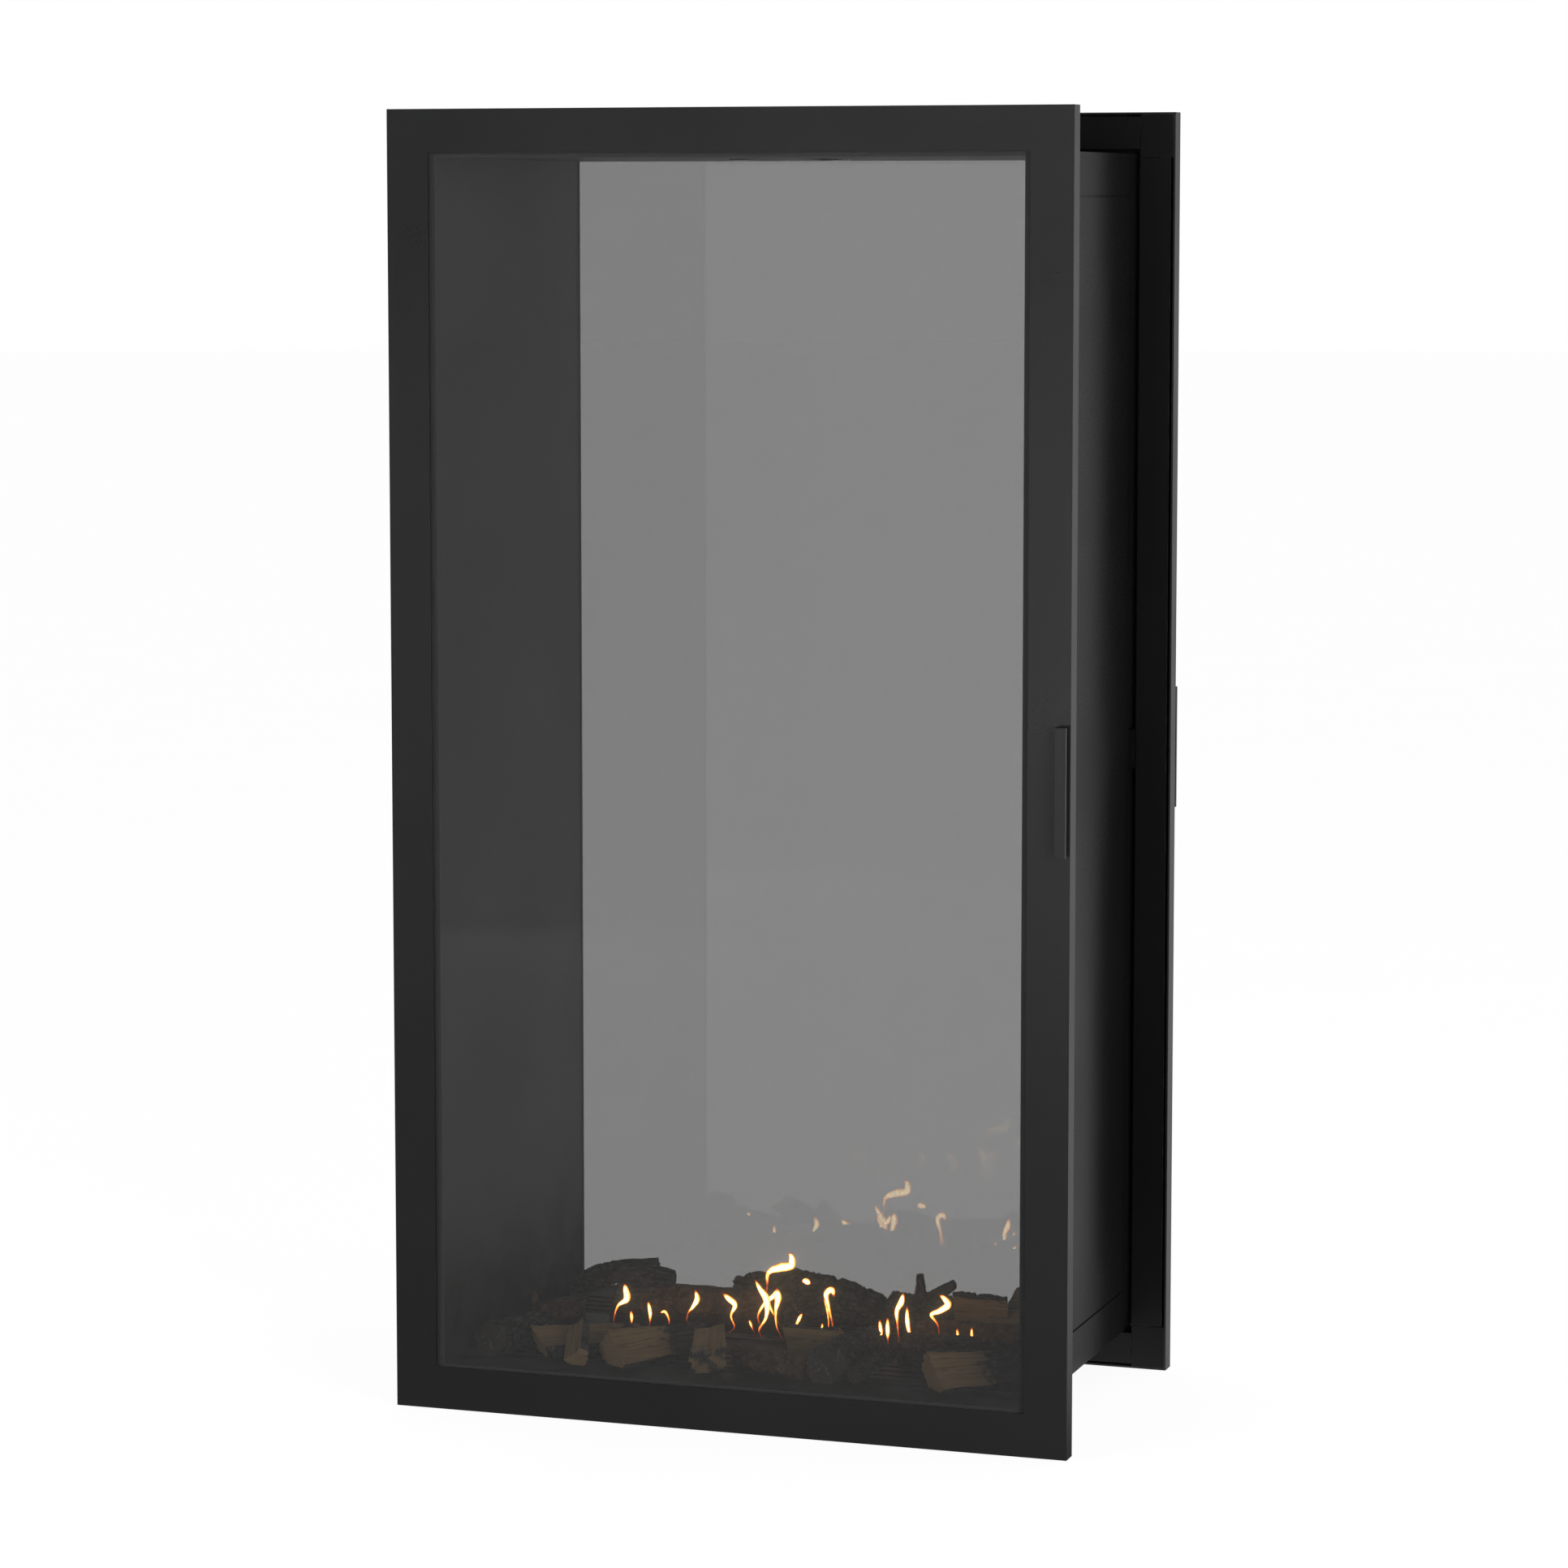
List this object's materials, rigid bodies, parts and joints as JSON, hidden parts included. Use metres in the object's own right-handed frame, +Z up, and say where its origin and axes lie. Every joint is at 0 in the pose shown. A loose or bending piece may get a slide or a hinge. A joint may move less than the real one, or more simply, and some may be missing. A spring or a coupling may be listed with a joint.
{
  "type": "double-sided fireplace",
  "caption": "Portrait see-through gas fireplace: a slim black casing with a log bed and linear burner between framed glass doors hinged at both faces.",
  "frame": {"origin": "bottom centre of the bounding box, on the plane of the door frames' lower edges", "axes": "+Z up, X across the doors with the hinges at -X and the handles at +X, front door facing -Y, rear door facing +Y"},
  "size_m": [0.7, 0.436, 1.3],
  "materials": {
    "frame_coat": "satin black powder coat",
    "frame_inner_coat": "satin black powder coat",
    "casing_coat": "satin black powder coat",
    "liner_coat": "matt black heat-proof coat",
    "flue_steel": "plain stainless sheet",
    "burner_gloss": "gloss black enamel",
    "grille_coat": "satin black heat-proof coat",
    "burner_steel": "heat-tinted stainless",
    "inlet_brass": "turned",
    "pivot_brass": "machined",
    "hardware_steel": "zinc-plated",
    "magnet": "black ferrite",
    "door_glass": "smoke-tinted fireproof pane",
    "door_seal": "woven grey glass-fibre ribbon",
    "charred_log": "charred bark",
    "brown_log": "red-brown bark",
    "split_log": "split timber with bark"
  },
  "bodies": {
    "casing": {"burner_box": "burner_steel", "burner_grilles": "grille_coat", "burner_plate": "burner_gloss", "burner_port_bar": "burner_steel", "casing_bottom_pan": "casing_coat", "casing_left_panel": "casing_coat", "casing_right_panel": "casing_coat", "casing_top_pan": "casing_coat", "catch_magnets": "magnet", "flue_inner_spigot": "flue_steel", "flue_outer_collar": "flue_steel", "gas_inlet": "inlet_brass", "hinge_pins": "hardware_steel", "hinge_straps": "hardware_steel", "liner_ceiling": "liner_coat", "liner_floor": "liner_coat", "liner_left_wall": "liner_coat", "liner_right_wall": "liner_coat", "log_front_01": "charred_log", "log_front_02": "split_log", "log_front_03": "split_log", "log_front_04": "split_log", "log_front_05": "split_log", "log_front_06": "brown_log", "log_front_07": "split_log", "log_front_08": "charred_log", "log_front_09": "charred_log", "log_front_10": "brown_log", "log_front_11": "split_log", "log_front_12": "charred_log", "log_rear_01": "brown_log", "log_rear_02": "charred_log", "log_rear_03": "brown_log", "log_rear_04": "charred_log", "log_rear_05": "charred_log", "log_rear_06": "split_log", "log_rear_07": "brown_log", "log_rear_08": "split_log", "pilot_hood": "burner_steel", "spark_electrode": "burner_steel", "thermocouple": "burner_steel", "thrust_washers": "hardware_steel"},
    "front_door": {"front_face_frame": "frame_coat", "front_glass": "door_glass", "front_seal": "door_seal", "front_stile_bars": "frame_inner_coat", "front_rail_bars": "frame_inner_coat", "front_corner_plates": "frame_inner_coat", "front_handle": "frame_coat", "front_pivot_blocks": "pivot_brass"},
    "rear_door": {"rear_face_frame": "frame_coat", "rear_glass": "door_glass", "rear_seal": "door_seal", "rear_stile_bars": "frame_inner_coat", "rear_rail_bars": "frame_inner_coat", "rear_corner_plates": "frame_inner_coat", "rear_handle": "frame_coat", "rear_pivot_blocks": "pivot_brass"}
  },
  "joints": [
    {"name": "front_door_hinge", "type": "hinge", "parent": "casing", "child": "front_door", "pos_m": [-0.339, -0.194, 0.65], "axis": [0, 0, -1], "range_deg": [0, 100]},
    {"name": "rear_door_hinge", "type": "hinge", "parent": "casing", "child": "rear_door", "pos_m": [-0.339, 0.194, 0.65], "axis": [0, 0, 1], "range_deg": [0, 100]}
  ]
}
